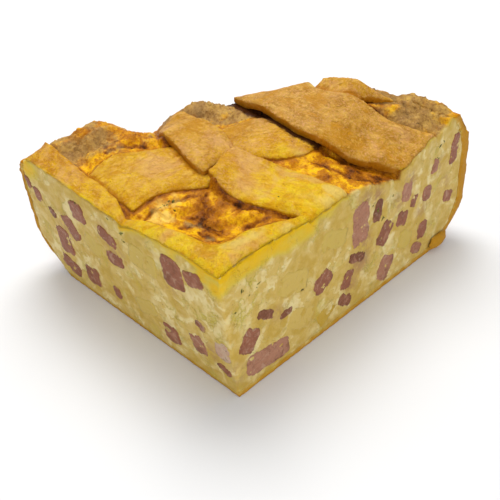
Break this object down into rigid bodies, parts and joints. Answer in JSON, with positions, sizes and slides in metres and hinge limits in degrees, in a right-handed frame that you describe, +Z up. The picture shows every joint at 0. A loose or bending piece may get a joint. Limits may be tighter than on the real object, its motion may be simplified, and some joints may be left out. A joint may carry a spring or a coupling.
{
  "type": "pizza rustica block",
  "caption": "Cut block of a deep savoury pie: egg and cheese filling with ham chunks, lattice strips of pastry on top and a browned crust wall along its curved back.",
  "frame": {"origin": "middle of the bounding box at the level of the flat bottom crust", "axes": "+X along the longer cut face, away from the corner where the cuts meet; +Y along the shorter cut face, away from that corner; +Z up"},
  "size_m": [0.1278, 0.102, 0.0591],
  "materials": {
    "crust": "baked golden crust, matt",
    "filling": "moist pale yellow egg and cheese",
    "front_pastry": "egg-washed golden pastry, satin",
    "far_pastry": "baked tan pastry, matt",
    "ham": "moist cured ham",
    "cheese": "smooth firm cheese"
  },
  "bodies": {
    "root": {"crust_shell": "crust", "filling": "filling", "strip_edge": "front_pastry", "strip_corner": "front_pastry", "strip_near": "front_pastry", "strip_cross": "far_pastry", "strip_far": "far_pastry", "strip_wide": "far_pastry", "ham_left_01": "ham", "ham_left_02": "ham", "ham_left_03": "ham", "ham_left_04": "ham", "ham_left_05": "ham", "ham_left_06": "ham", "ham_left_07": "ham", "ham_left_08": "ham", "ham_left_09": "ham", "ham_left_10": "ham", "ham_left_11": "ham", "ham_left_12": "ham", "ham_left_13": "ham", "ham_left_14": "ham", "ham_left_15": "ham", "ham_left_16": "ham", "ham_left_17": "ham", "ham_left_18": "ham", "ham_right_01": "ham", "ham_right_02": "ham", "ham_right_03": "ham", "ham_right_04": "ham", "ham_right_05": "ham", "ham_right_06": "ham", "ham_right_07": "ham", "ham_right_08": "ham", "ham_right_09": "ham", "ham_right_10": "ham", "ham_right_11": "ham", "ham_right_12": "ham", "ham_right_13": "ham", "ham_right_14": "ham", "ham_right_15": "ham", "ham_right_16": "ham", "ham_right_17": "ham", "ham_right_18": "ham", "ham_right_19": "ham", "ham_right_20": "ham", "ham_right_21": "ham", "cheese_left_01": "cheese", "cheese_left_02": "cheese", "cheese_left_03": "cheese", "cheese_right_01": "cheese", "cheese_right_02": "cheese", "cheese_right_03": "cheese", "cheese_right_04": "cheese", "cheese_right_05": "cheese"}
  },
  "joints": []
}
